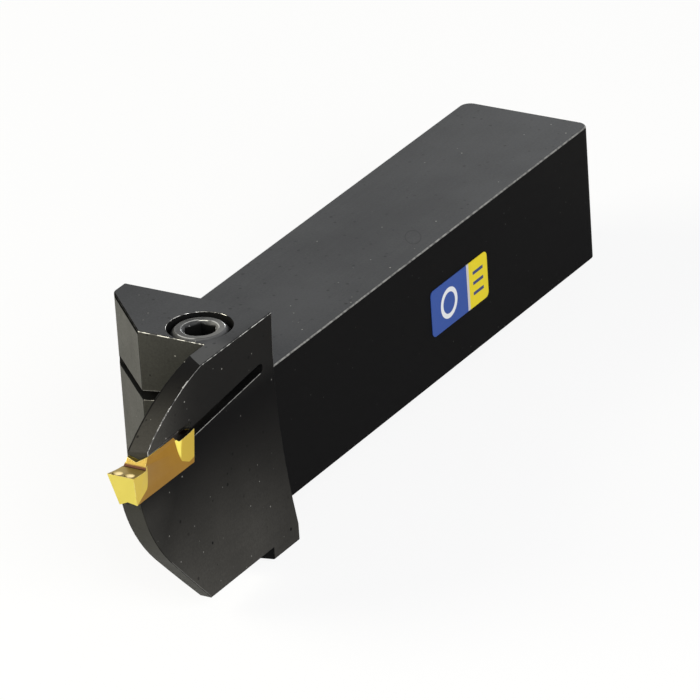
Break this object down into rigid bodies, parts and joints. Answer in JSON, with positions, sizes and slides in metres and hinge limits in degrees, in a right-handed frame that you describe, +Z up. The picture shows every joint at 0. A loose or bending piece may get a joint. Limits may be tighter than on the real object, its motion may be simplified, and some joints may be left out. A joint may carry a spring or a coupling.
{
  "type": "face grooving tool holder",
  "caption": "Square-shank face grooving tool holder with a curved support blade, an integral clamping jaw drawn down by a socket head screw, and a coated carbide insert.",
  "frame": {"origin": "middle of the shank's base face, half way along the shank", "axes": "+Z up from the base face, +Y along the shank to its tail, +X to the side that carries the blade and the label; the cutting edge is at -Y"},
  "size_m": [0.0305, 0.15, 0.0407],
  "materials": {
    "body_steel": "black oxide over milled and ground tool steel, satin, with bright worn edges",
    "insert_coating": "gold nitride coating over sintered carbide, satin",
    "screw_steel": "black oxide over alloy steel",
    "label_print": "printed vinyl film in blue, pale grey and yellow fields"
  },
  "bodies": {
    "holder": {"tool_body": "body_steel", "grooving_insert": "insert_coating", "label": "label_print"},
    "screw": {"clamp_screw": "screw_steel"}
  },
  "joints": [
    {"name": "clamp_screw_turn", "type": "hinge", "parent": "holder", "child": "screw", "pos_m": [0.0052, -0.0622, 0.0287], "axis": [0, 0, 1], "range_deg": [0, 540]}
  ]
}
